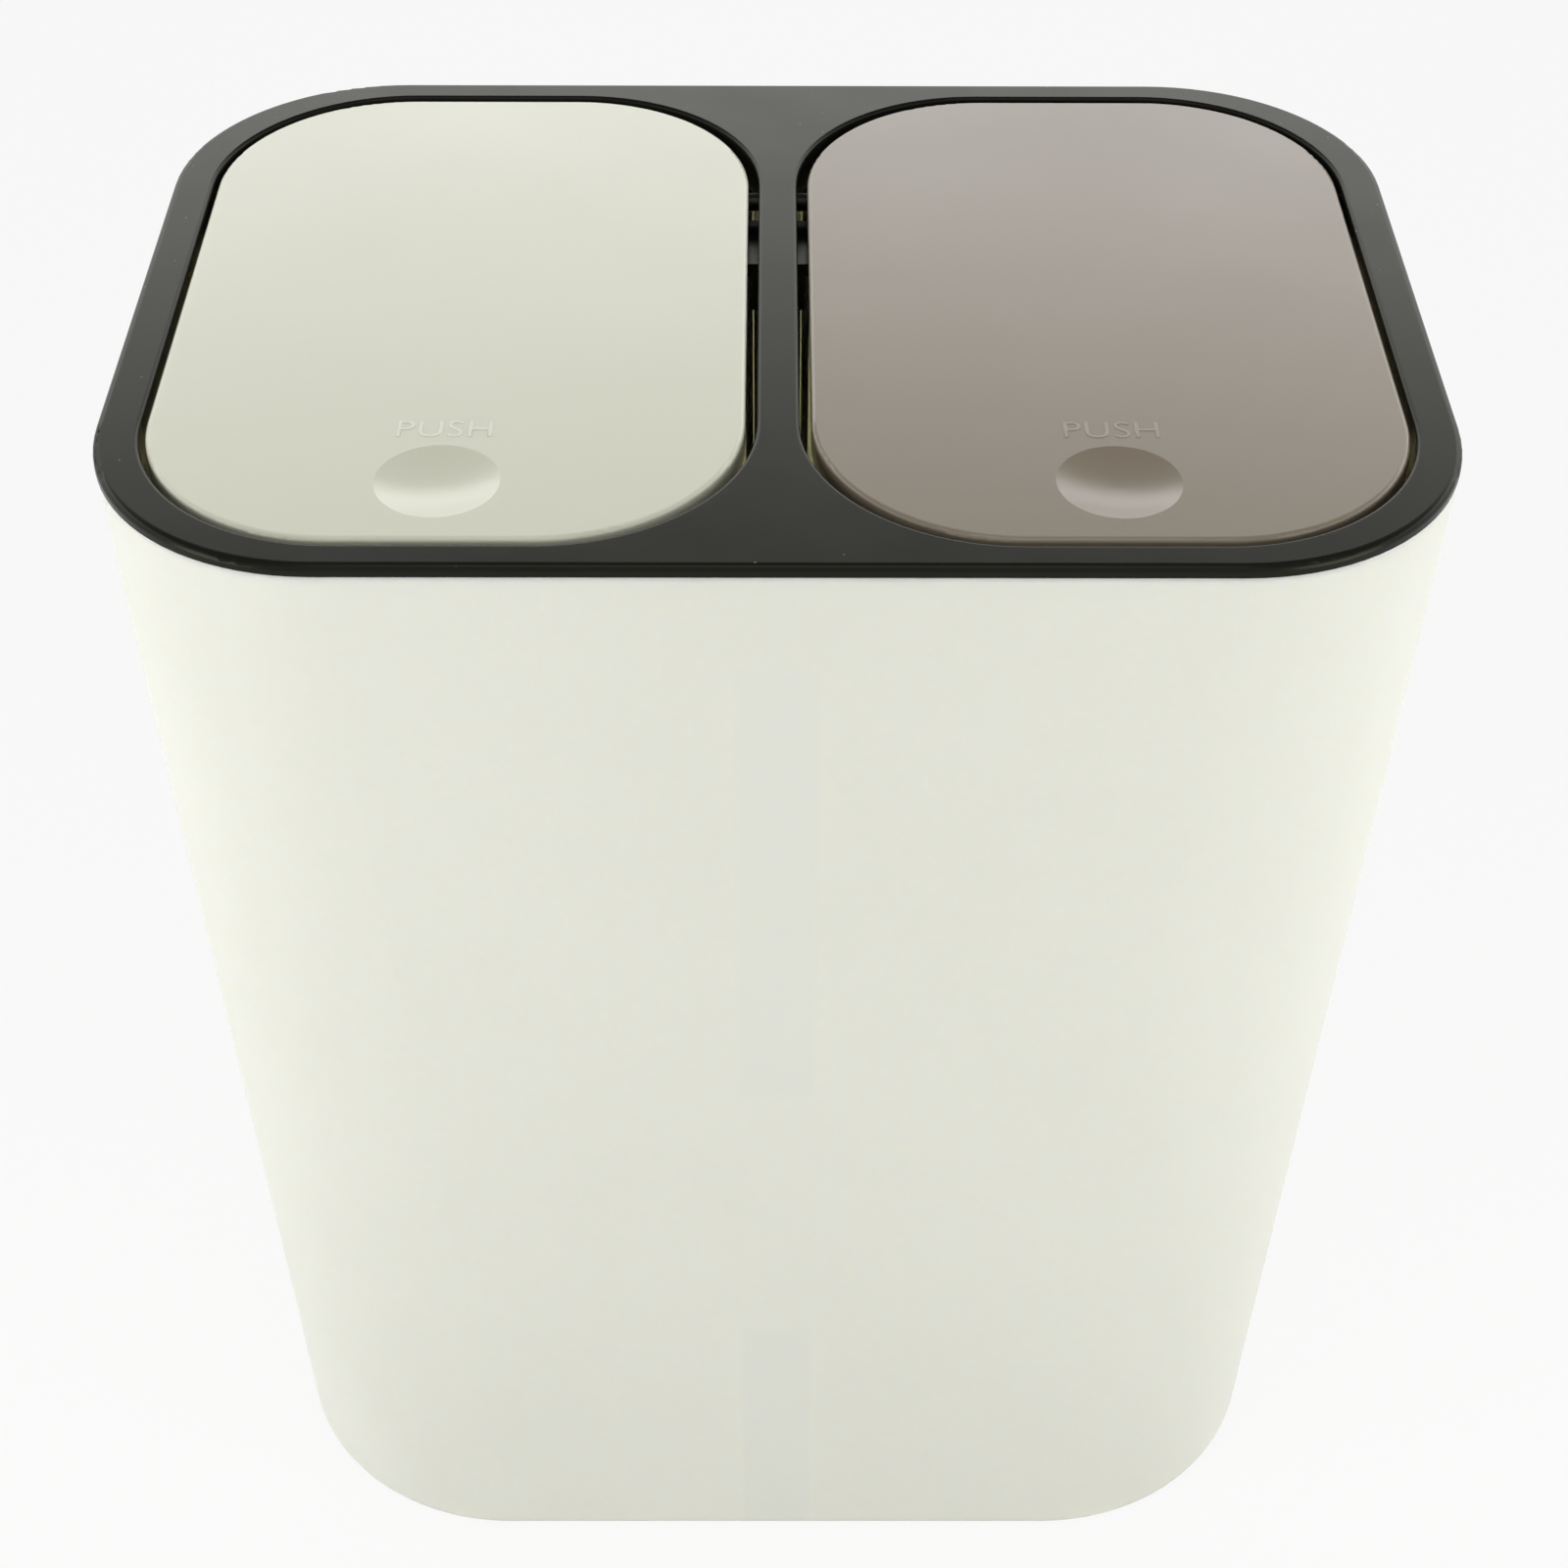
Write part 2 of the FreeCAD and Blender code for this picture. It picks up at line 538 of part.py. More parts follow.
def wire_tube(edges, wire_diameter, heading, name):
    """Round wire along the edges, printing the least gap between its turns."""
    path = Part.Wire(edges)
    circle = Part.Circle(edges[0].firstVertex().Point, heading, wire_diameter / 2)
    tube = path.makePipeShell([Part.Wire(circle.toShape())], True, False)
    points = [point for edge in edges for point in edge.discretize(8)[:-1]]
    spacing = path.Length / len(points)
    apart = int(4 * wire_diameter / spacing) + 1
    least = min(
        (points[i] - points[j]).Length
        for i in range(len(points))
        for j in range(i + apart, len(points))
    )
    section = math.pi * wire_diameter ** 2 / 4
    print(name, "volume", round(tube.Volume, 2), "section times length", round(section * path.Length, 2))
    print(name, "least gap between turns", round(least - wire_diameter, 2))
    return tube


def make_right_torsion_spring():
    """Torsion spring round the rod: one leg on the frame's tongue, one leg under the lid."""
    quarters = 4 * TORSION_WHOLE_TURNS + 2
    places = []
    headings = []
    for quarter in range(quarters + 1):
        angle = quarter * math.pi / 2
        x = torsion_x_low() + TORSION_PITCH * quarter / 4
        y = HINGE_Y + TORSION_MEAN_RADIUS * math.sin(angle)
        z = HINGE_Z - TORSION_MEAN_RADIUS * math.cos(angle)
        places.append(Vector(x, y, z))
        climb = TORSION_PITCH / (2 * math.pi * TORSION_MEAN_RADIUS)
        headings.append(Vector(climb, math.cos(angle), math.sin(angle)).normalize())
    headings[0] = Vector(0, 1, 0)
    headings[-1] = Vector(0, -1, 0)
    frame_leg = Part.makeLine(places[0] - headings[0] * TORSION_LEG, places[0])
    lid_leg = Part.makeLine(places[-1], places[-1] + headings[-1] * TORSION_LEG)
    edges = [frame_leg] + wound_edges(places, headings) + [lid_leg]
    return wire_tube(edges, TORSION_WIRE, Y_AXIS, "torsion spring")


def make_latch_body(centre_x):
    """Open-fronted case of the latch with an ear plate for its two screws."""
    half_x = LATCH_CAVITY_WIDTH / 2 + LATCH_WALL
    ear_half_x = SCREW_OFFSET + SCREW_HEAD_DIAMETER
    ear_low = SCREW_Z - EAR_PLATE_HEIGHT / 2
    body = box(-half_x, half_x, LATCH_SEAT_Y, LATCH_CAVITY_BACK_Y, LATCH_BOTTOM_Z, LATCH_TOP_Z)
    ear_back = LATCH_SEAT_Y + EAR_PLATE_THICKNESS
    ears = box(-ear_half_x, ear_half_x, LATCH_SEAT_Y, ear_back, ear_low, ear_low + EAR_PLATE_HEIGHT)
    cavity = box(
        -LATCH_CAVITY_WIDTH / 2,
        LATCH_CAVITY_WIDTH / 2,
        LATCH_CAVITY_FRONT_Y,
        LATCH_CAVITY_BACK_Y,
        LATCH_FLOOR_Z,
        LATCH_TOP_Z,
    )
    body = body.fuse(ears).cut(cavity)
    for side in (-1, 1):
        hole_start = Vector(side * SCREW_OFFSET, LATCH_SEAT_Y - OVERSHOOT, SCREW_Z)
        hole_radius = SCREW_SHANK_DIAMETER / 2 + SCREW_CLEARANCE
        hole_length = EAR_PLATE_THICKNESS + 2 * OVERSHOOT
        body = body.cut(Part.makeCylinder(hole_radius, hole_length, hole_start, Y_AXIS))
    return body.removeSplitter().translated(X_AXIS * centre_x)


def make_latch_cover(centre_x):
    """Clip-on cover of the latch, grooved inside for the cam wire."""
    half_x = LATCH_CAVITY_WIDTH / 2 + LATCH_WALL
    cover_back = LATCH_CAVITY_BACK_Y + COVER_THICKNESS
    cover = box(-half_x, half_x, LATCH_CAVITY_BACK_Y, cover_back, LATCH_BOTTOM_Z, LATCH_TOP_Z)
    clip_in = half_x + COVER_CLIP_CLEARANCE
    clip_out = clip_in + COVER_CLIP_THICKNESS
    clip_middle = (LATCH_BOTTOM_Z + LATCH_TOP_Z - EAR_PLATE_HEIGHT) / 2
    clip_low = clip_middle - COVER_CLIP_HEIGHT / 2
    clip_high = clip_middle + COVER_CLIP_HEIGHT / 2
    clip_front = LATCH_CAVITY_BACK_Y - COVER_CLIP_LENGTH
    strap = box(-clip_out, clip_out, clip_front, cover_back, clip_low, clip_high)
    strap = strap.cut(box(-clip_in, clip_in, clip_front, LATCH_CAVITY_BACK_Y, clip_low, clip_high))
    groove_half = CAM_WIRE / 2 + CAM_WIRE_CLEARANCE
    groove = box(
        -groove_half,
        groove_half,
        LATCH_CAVITY_BACK_Y,
        CAM_WIRE_Y + groove_half,
        CAM_PIVOT_Z - groove_half,
        LATCH_TOP_Z,
    )
    pivot_start = Vector(0, LATCH_CAVITY_BACK_Y, CAM_PIVOT_Z)
    pivot_hole = Part.makeCylinder(CAM_WIRE / 2 + SCREW_CLEARANCE, COVER_THICKNESS, pivot_start, Y_AXIS)
    return cover.fuse(strap).cut([groove, pivot_hole]).removeSplitter().translated(X_AXIS * centre_x)


def make_heart():
    """Heart-shaped island of the cam track, notched on top where the wire's tip rests."""
    half = HEART_WIDTH / 2
    points = [
        (0, HEART_BOTTOM_Z),
        (half, HEART_TOP_Z - HEART_HEIGHT / 2),
        (half, HEART_TOP_Z),
        (0, HEART_TOP_Z - HEART_NOTCH),
        (-half, HEART_TOP_Z),
        (-half, HEART_TOP_Z - HEART_HEIGHT / 2),
    ]
    return plate_xz(points, CAM_FLOOR_Y, PLUNGER_BACK_Y)


def make_latch_plunger(centre_x):
    """Sliding plunger: grip arms on top, cam track on its face, spring bore below."""
    block = box(
        -PLUNGER_HALF_X, PLUNGER_HALF_X, PLUNGER_FRONT_Y, PLUNGER_BACK_Y, PLUNGER_BOTTOM_Z, GRIP_SEAT_Z
    )
    grip_in = CATCH_HEAD_WIDTH / 2 + CATCH_CLEARANCE
    hook_in = CATCH_NECK_WIDTH / 2 + CATCH_CLEARANCE
    hook_z = PLUNGER_TOP_Z - GRIP_HOOK_HEIGHT
    arm_points = [
        (grip_in, GRIP_SEAT_Z),
        (PLUNGER_HALF_X, GRIP_SEAT_Z),
        (PLUNGER_HALF_X, PLUNGER_TOP_Z),
        (grip_in, PLUNGER_TOP_Z),
        (hook_in, hook_z + GRIP_HOOK_HEIGHT / 2),
        (hook_in, hook_z),
        (grip_in, hook_z),
    ]
    arm = plate_xz(arm_points, LATCH_Y - GRIP_WIDTH / 2, LATCH_Y + GRIP_WIDTH / 2)
    plunger = block.fuse([arm, mirrored(arm)])
    bore_start = Vector(0, LATCH_Y, PLUNGER_BOTTOM_Z)
    bore = Part.makeCylinder(LATCH_BORE_RADIUS, LATCH_BORE_DEPTH, bore_start, Z_AXIS)
    track_half = CAM_WIDTH / 2
    track = box(-track_half, track_half, CAM_FLOOR_Y, PLUNGER_BACK_Y, CAM_TOP_Z - CAM_HEIGHT, CAM_TOP_Z)
    upright = [edge for edge in track.Edges if abs(edge.tangentAt(edge.FirstParameter).y) > 0.99]
    track = track.makeFillet(CAM_CORNER_RADIUS, upright)
    plunger = plunger.cut([bore, track.cut(make_heart())])
    return plunger.removeSplitter().translated(X_AXIS * centre_x)


def make_latch_spring(centre_x):
    """Compression spring between the case's floor and the plunger's bore."""
    low = LATCH_FLOOR_Z + LATCH_WIRE / 2
    high = PLUNGER_BOTTOM_Z + LATCH_BORE_DEPTH - LATCH_WIRE / 2
    quarters = 4 * LATCH_SPRING_TURNS
    climb = (high - low) / (2 * math.pi * LATCH_SPRING_TURNS * LATCH_SPRING_RADIUS)
    places = []
    headings = []
    for quarter in range(quarters + 1):
        angle = quarter * math.pi / 2
        outwards = Vector(math.cos(angle), math.sin(angle), 0)
        middle = Vector(centre_x, LATCH_Y, low + (high - low) * quarter / quarters)
        places.append(middle + outwards * LATCH_SPRING_RADIUS)
        headings.append(Vector(-math.sin(angle), math.cos(angle), climb).normalize())
    headings[0] = Vector(0, 1, 0)
    headings[-1] = Vector(0, 1, 0)
    return wire_tube(wound_edges(places, headings), LATCH_WIRE, Y_AXIS, "latch spring")


def make_cam_wire(centre_x):
    """Bent wire from its pivot in the cover to its tip in the plunger's cam track."""
    radius = CAM_WIRE / 2
    pivot = Vector(centre_x, CAM_WIRE_Y, CAM_PIVOT_Z)
    elbow = Vector(centre_x, CAM_WIRE_Y, CAM_TIP_Z)
    pivot_length = LATCH_CAVITY_BACK_Y + COVER_THICKNESS - CAM_WIRE_Y
    tip_length = CAM_WIRE_Y - CAM_FLOOR_Y - CAM_WIRE_CLEARANCE
    stem = Part.makeCylinder(radius, CAM_TIP_Z - CAM_PIVOT_Z, pivot, Z_AXIS)
    pieces = [
        Part.makeCylinder(radius, pivot_length, pivot, Y_AXIS),
        Part.makeCylinder(radius, tip_length, elbow, -Y_AXIS),
        Part.makeSphere(radius, pivot),
        Part.makeSphere(radius, elbow),
    ]
    return stem.fuse(pieces).removeSplitter()


def make_screw(x):
    """Pan-head screw through the latch's ear plate into the frame's boss."""
    head_y = LATCH_SEAT_Y + EAR_PLATE_THICKNESS
    shank = Part.makeCylinder(SCREW_SHANK_DIAMETER / 2, SCREW_LENGTH, Vector(x, head_y, SCREW_Z), -Y_AXIS)
    head = Part.makeCylinder(SCREW_HEAD_DIAMETER / 2, SCREW_HEAD_HEIGHT, Vector(x, head_y, SCREW_Z), Y_AXIS)
    slot_half = SCREW_SLOT_WIDTH / 2
    slot_reach = SCREW_HEAD_DIAMETER / 2 - SCREW_SLOT_WIDTH
    slot_front = head_y + SCREW_HEAD_HEIGHT - SCREW_SLOT_DEPTH
    slot_back = head_y + SCREW_HEAD_HEIGHT
    cross = [
        box(x - slot_reach, x + slot_reach, slot_front, slot_back, SCREW_Z - slot_half, SCREW_Z + slot_half),
        box(x - slot_half, x + slot_half, slot_front, slot_back, SCREW_Z - slot_reach, SCREW_Z + slot_reach),
    ]
    return shank.fuse(head).cut(cross).removeSplitter()


right_lid = make_right_lid()
right_rod = make_right_hinge_rod()
right_torsion_spring = make_right_torsion_spring()
screw_places = [centre + side * SCREW_OFFSET for centre in (-LID_X, LID_X) for side in (-1, 1)]
nodes = {
    "outer_shell": make_outer_shell(),
    "divider_panel": make_divider_panel(),
    "top_frame": make_top_frame(),
    "left_lid": mirrored(right_lid),
    "right_lid": right_lid,
    "left_hinge_rod": mirrored(right_rod),
    "right_hinge_rod": right_rod,
    "left_torsion_spring": mirrored(right_torsion_spring),
    "right_torsion_spring": right_torsion_spring,
    "latch_screws": Part.makeCompound([make_screw(x) for x in screw_places]),
}
for hand, centre in (("left", -LID_X), ("right", LID_X)):
    nodes[hand + "_latch_body"] = make_latch_body(centre)
    nodes[hand + "_latch_cover"] = make_latch_cover(centre)
    nodes[hand + "_latch_plunger"] = make_latch_plunger(centre)
    nodes[hand + "_latch_spring"] = make_latch_spring(centre)
    nodes[hand + "_cam_wire"] = make_cam_wire(centre)

os.makedirs("parts", exist_ok=True)
for name, shape in nodes.items():
    print(name, len(shape.Solids), shape.isValid(), round(shape.Volume, 1))
    shape.exportStep("parts/" + name + ".step")
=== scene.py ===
import json
import math
import bmesh
import bpy
from mathutils import Matrix, Vector


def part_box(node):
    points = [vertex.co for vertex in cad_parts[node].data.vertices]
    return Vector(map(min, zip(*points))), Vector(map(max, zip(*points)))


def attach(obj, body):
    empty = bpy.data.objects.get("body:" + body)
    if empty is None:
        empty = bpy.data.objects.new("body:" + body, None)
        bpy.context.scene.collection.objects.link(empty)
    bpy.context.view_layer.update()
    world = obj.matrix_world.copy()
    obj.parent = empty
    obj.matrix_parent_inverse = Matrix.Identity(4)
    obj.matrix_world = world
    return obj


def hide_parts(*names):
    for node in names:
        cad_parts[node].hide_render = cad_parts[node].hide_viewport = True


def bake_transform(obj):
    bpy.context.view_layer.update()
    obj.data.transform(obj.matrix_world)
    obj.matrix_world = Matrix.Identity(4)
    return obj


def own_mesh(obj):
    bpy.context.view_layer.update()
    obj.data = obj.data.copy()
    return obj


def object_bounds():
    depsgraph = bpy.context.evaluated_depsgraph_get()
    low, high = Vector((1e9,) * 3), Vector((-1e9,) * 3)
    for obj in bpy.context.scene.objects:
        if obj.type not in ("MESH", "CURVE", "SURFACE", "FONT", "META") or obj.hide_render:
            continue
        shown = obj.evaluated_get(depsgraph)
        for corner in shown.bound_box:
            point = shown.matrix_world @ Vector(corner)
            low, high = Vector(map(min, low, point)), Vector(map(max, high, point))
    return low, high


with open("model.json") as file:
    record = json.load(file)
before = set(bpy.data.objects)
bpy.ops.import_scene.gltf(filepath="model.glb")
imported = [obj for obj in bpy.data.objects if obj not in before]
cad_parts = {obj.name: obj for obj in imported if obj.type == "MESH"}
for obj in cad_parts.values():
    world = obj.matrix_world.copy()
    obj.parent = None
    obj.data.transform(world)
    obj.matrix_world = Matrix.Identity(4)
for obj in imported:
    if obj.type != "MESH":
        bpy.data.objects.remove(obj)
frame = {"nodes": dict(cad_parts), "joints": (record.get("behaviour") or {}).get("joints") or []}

cad_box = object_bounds()


# Outer shell
# A tapered tub moulded in one shot from cream polypropylene, with a foot ring under its floor.
# The plastic lets a little light through, and the guide ribs inside are also painted on the wall as faint
# shade.
MM = 0.001
SHELL_TONES = ("#EAE9DB", "#E5E4D6")
SHELL_PATCH = 70 * MM
SHELL_PATCH_DETAIL = 3.0
SHELL_ROUGHNESS = (0.42, 0.52)
SHELL_GRAIN = 0.9 * MM
SHELL_GRAIN_STRENGTH = 0.04
SHELL_GRAIN_DEPTH = 0.05 * MM
SHELL_SCATTER_REACH = 5 * MM
SHELL_SCATTER_BY_COLOUR = (1.0, 0.92, 0.76)
POLYPROPYLENE_IOR = 1.49

# Painted shade: the guide ribs behind the wall drawn as a slightly darker band, and where that band lies.
GUIDE_PAINTED_SHADE = "#E4E4D8"
GUIDE_HALF_WIDTH = 6.8 * MM
GUIDE_SIDE_BLUR = 2.4 * MM
LOWER_GUIDE_TOP = 78 * MM
LOWER_GUIDE_BLUR = 4 * MM
UPPER_GUIDE_BOTTOM = 165 * MM
UPPER_GUIDE_TOP = 277 * MM
UPPER_GUIDE_BLUR = 6 * MM


def linear(hex_colour):
    """An sRGB hex value as the linear colour that the shaders take."""
    channels = [int(hex_colour[place:place + 2], 16) / 255 for place in (1, 3, 5)]
    return [c / 12.92 if c <= 0.04045 else ((c + 0.055) / 1.055) ** 2.4 for c in channels] + [1.0]


def add_node(tree, kind, links=None, **settings):
    """Adds a node, sets its properties and inputs, and links other nodes' outputs to its inputs."""
    node = tree.nodes.new(kind)
    inputs = settings.pop("inputs", {})
    for name, value in settings.items():
        setattr(node, name, value)
    for name, value in inputs.items():
        node.inputs[name].default_value = value
    for name, source in (links or {}).items():
        tree.links.new(source, node.inputs[name])
    return node


def new_material(name):
    """An empty node material, its tree and the surface coordinates in metres."""
    material = bpy.data.materials.new(name)
    material.use_nodes = True
    tree = material.node_tree
    tree.nodes.clear()
    place = add_node(tree, "ShaderNodeTexCoord").outputs["Object"]
    return material, tree, place


def finish_material(tree, shader):
    """Shows a shader on the surface."""
    add_node(tree, "ShaderNodeOutputMaterial", {"Surface": shader.outputs[0]})


def dress(node, material):
    """Gives a carried-over piece its finish."""
    mesh = frame["nodes"][node].data
    mesh.materials.clear()
    mesh.materials.append(material)


def mottled(tree, place, patch, detail, tones, roughness):
    """A colour and a roughness that drift together, each between two values, over patches of one size."""
    drift = add_node(
        tree, "ShaderNodeTexNoise", {"Vector": place}, inputs={"Scale": 1 / patch, "Detail": detail}
    ).outputs["Fac"]
    first_tone, second_tone = tones
    tone = add_node(
        tree, "ShaderNodeMix", {"Factor": drift}, data_type="RGBA",
        inputs={"A": linear(first_tone), "B": linear(second_tone)},
    )
    smoothest, roughest = roughness
    rough = add_node(
        tree, "ShaderNodeMapRange", {"Value": drift}, inputs={"To Min": smoothest, "To Max": roughest}
    )
    return tone.outputs["Result"], rough.outputs[0]


GRAIN_DETAIL = 2.0


def mould_grain(tree, place, size, strength, depth):
    """The fine grain that an etched mould leaves, as a change of the surface's direction."""
    grain = add_node(
        tree, "ShaderNodeTexNoise", {"Vector": place}, inputs={"Scale": 1 / size, "Detail": GRAIN_DETAIL}
    )
    bump = add_node(
        tree, "ShaderNodeBump", {"Height": grain.outputs["Fac"]},
        inputs={"Strength": strength, "Distance": depth},
    )
    return bump.outputs[0]


def between(tree, value, low, high, blur):
    """1 where a value lies between two limits, fading out over blur at each."""
    rise = add_node(
        tree, "ShaderNodeMapRange", {"Value": value}, interpolation_type="SMOOTHSTEP",
        inputs={"From Min": low - blur, "From Max": low},
    )
    fall = add_node(
        tree, "ShaderNodeMapRange", {"Value": value}, interpolation_type="SMOOTHSTEP",
        inputs={"From Min": high + blur, "From Max": high},
    )
    both = add_node(tree, "ShaderNodeMath", {0: rise.outputs[0], 1: fall.outputs[0]}, operation="MULTIPLY")
    return both.outputs[0]


def shell_polypropylene():
    """Satin cream polypropylene: soft cloudy flow marks, a fine grain, and painted shade where the guides
    stand behind the wall.
    """
    material, tree, place = new_material("cream_polypropylene_satin")
    tone, rough = mottled(tree, place, SHELL_PATCH, SHELL_PATCH_DETAIL, SHELL_TONES, SHELL_ROUGHNESS)
    axes = add_node(tree, "ShaderNodeSeparateXYZ", {"Vector": place})
    # Painted shade: a slightly darker band over the guide channel, where the ribs stand behind the wall.
    channel = between(tree, axes.outputs["X"], -GUIDE_HALF_WIDTH, GUIDE_HALF_WIDTH, GUIDE_SIDE_BLUR)
    upper = between(tree, axes.outputs["Z"], UPPER_GUIDE_BOTTOM, UPPER_GUIDE_TOP, UPPER_GUIDE_BLUR)
    lower = between(tree, axes.outputs["Z"], 0, LOWER_GUIDE_TOP, LOWER_GUIDE_BLUR)
    height = add_node(tree, "ShaderNodeMath", {0: upper, 1: lower}, operation="MAXIMUM")
    guide_shade_mask = add_node(tree, "ShaderNodeMath", {0: channel, 1: height.outputs[0]}, operation="MULTIPLY")
    colour = add_node(
        tree, "ShaderNodeMix", {"Factor": guide_shade_mask.outputs[0], "A": tone}, data_type="RGBA",
        inputs={"B": linear(GUIDE_PAINTED_SHADE)},
    )
    grain = mould_grain(tree, place, SHELL_GRAIN, SHELL_GRAIN_STRENGTH, SHELL_GRAIN_DEPTH)
    shader = add_node(
        tree, "ShaderNodeBsdfPrincipled",
        {"Base Color": colour.outputs["Result"], "Roughness": rough, "Normal": grain},
        inputs={"IOR": POLYPROPYLENE_IOR, "Subsurface Weight": 1.0,
                "Subsurface Radius": SHELL_SCATTER_BY_COLOUR, "Subsurface Scale": SHELL_SCATTER_REACH},
    )
    finish_material(tree, shader)
    return material


shell_plastic = shell_polypropylene()
dress("outer_shell", shell_plastic)


# Divider panel
# A flat panel with flanged edges, moulded from the same cream polypropylene as the shell.
# It stands on the shell's floor, slides in the guides, and parts the two compartments.
dress("divider_panel", shell_plastic)


# Top frame
# A black polypropylene moulding that plugs into the shell, with an opening for each lid.
# Its top is satin, clouded by handling, with a few pale dust specks.
FRAME_TONES = ("#121211", "#181816")
WEAR_PATCH = 18 * MM
WEAR_DETAIL = 5.0
FRAME_ROUGHNESS = (0.22, 0.3)
FRAME_GRAIN = 0.7 * MM
FRAME_GRAIN_STRENGTH = 0.05
FRAME_GRAIN_DEPTH = 0.05 * MM
FRAME_GLOSS_LEVEL = 0.16
FRAME_GLOSS_TINT = "#F2F1CE"
DUST = "#8A8880"
DUST_SPACING = 5 * MM
DUST_CORE_SHARE = 0.035
DUST_EDGE_SHARE = 0.055
DUST_COVER = 0.6


def frame_polypropylene():
    """Satin black polypropylene: cloudy wear, sparse pale dust specks, and a fine moulded grain."""
    material, tree, place = new_material("black_polypropylene_satin")
    tone, rough = mottled(tree, place, WEAR_PATCH, WEAR_DETAIL, FRAME_TONES, FRAME_ROUGHNESS)
    cells = add_node(tree, "ShaderNodeTexVoronoi", {"Vector": place}, inputs={"Scale": 1 / DUST_SPACING})
    speck = add_node(
        tree, "ShaderNodeMapRange", {"Value": cells.outputs["Distance"]},
        inputs={"From Min": DUST_EDGE_SHARE, "From Max": DUST_CORE_SHARE, "To Max": DUST_COVER},
    )
    colour = add_node(
        tree, "ShaderNodeMix", {"Factor": speck.outputs[0], "A": tone}, data_type="RGBA",
        inputs={"B": linear(DUST)},
    )
    grain = mould_grain(tree, place, FRAME_GRAIN, FRAME_GRAIN_STRENGTH, FRAME_GRAIN_DEPTH)
    shader = add_node(
        tree, "ShaderNodeBsdfPrincipled",
        {"Base Color": colour.outputs["Result"], "Roughness": rough, "Normal": grain},
        inputs={"IOR": POLYPROPYLENE_IOR, "Specular IOR Level": FRAME_GLOSS_LEVEL,
                "Specular Tint": linear(FRAME_GLOSS_TINT)},
    )
    finish_material(tree, shader)
    return material


dress("top_frame", frame_polypropylene())


# Latch cases and covers
# Each push latch is a black acetal case screwed to the frame's bosses, closed by a clip-on cover.
# The mouldings are small and smooth, with the low sheen of acetal.
CASE_TONES = ("#222222", "#2B2B2B")
ACETAL_PATCH = 3 * MM
ACETAL_PATCH_DETAIL = 3.0
ACETAL_ROUGHNESS = (0.3, 0.42)
ACETAL_IOR = 1.48
HANDS = ("left", "right")


def acetal(name, tones):
    """Moulded acetal: smooth and waxy, with a slight mottle."""
    material, tree, place = new_material(name)
    tone, rough = mottled(tree, place, ACETAL_PATCH, ACETAL_PATCH_DETAIL, tones, ACETAL_ROUGHNESS)
    shader = add_node(
        tree, "ShaderNodeBsdfPrincipled", {"Base Color": tone, "Roughness": rough},
        inputs={"IOR": ACETAL_IOR},
    )
    finish_material(tree, shader)
    return material


case_plastic = acetal("black_acetal", CASE_TONES)
for hand in HANDS:
    dress(hand + "_latch_body", case_plastic)
    dress(hand + "_latch_cover", case_plastic)


# Latch plungers
# The plunger slides in its case and holds the lid's catch between two hooked arms.
# It is natural acetal, off-white and waxy, with a heart-shaped cam track on its face.
PLUNGER_TONES = ("#E4E2DA", "#EDEBE4")

plunger_plastic = acetal("natural_acetal", PLUNGER_TONES)
for hand in HANDS:
    dress(hand + "_latch_plunger", plunger_plastic)


# Cam wires
# A bent steel wire links each cover to its plunger's cam track and holds it down or lets it go.
# Drawn music wire: bright, with a fine unevenness left by the die.
WIRE_TONES = ("#B4B0A8", "#8F8B84")
WIRE_ROUGHNESS = (0.22, 0.36)
WIRE_PATCH = 0.6 * MM
STEEL_PATCH_DETAIL = 4.0


def steel(name, tones, roughness, patch):
    """Bare or treated steel: metal that varies in tone and gloss over patches of the given size."""
    material, tree, place = new_material(name)
    tone, rough = mottled(tree, place, patch, STEEL_PATCH_DETAIL, tones, roughness)
    shader = add_node(
        tree, "ShaderNodeBsdfPrincipled", {"Base Color": tone, "Roughness": rough},
        inputs={"Metallic": 1.0},
    )
    finish_material(tree, shader)
    return material


wire_steel = steel("drawn_spring_steel", WIRE_TONES, WIRE_ROUGHNESS, WIRE_PATCH)
for hand in HANDS:
    dress(hand + "_cam_wire", wire_steel)


# Latch springs
# A small compression spring stands on each case's floor and pushes the plunger up.
# Wound from round music wire.
LATCH_WIRE = 0.6 * MM
LATCH_TURNS = 5
WIRE_SIDES = 12
STEPS_PER_TURN = 32


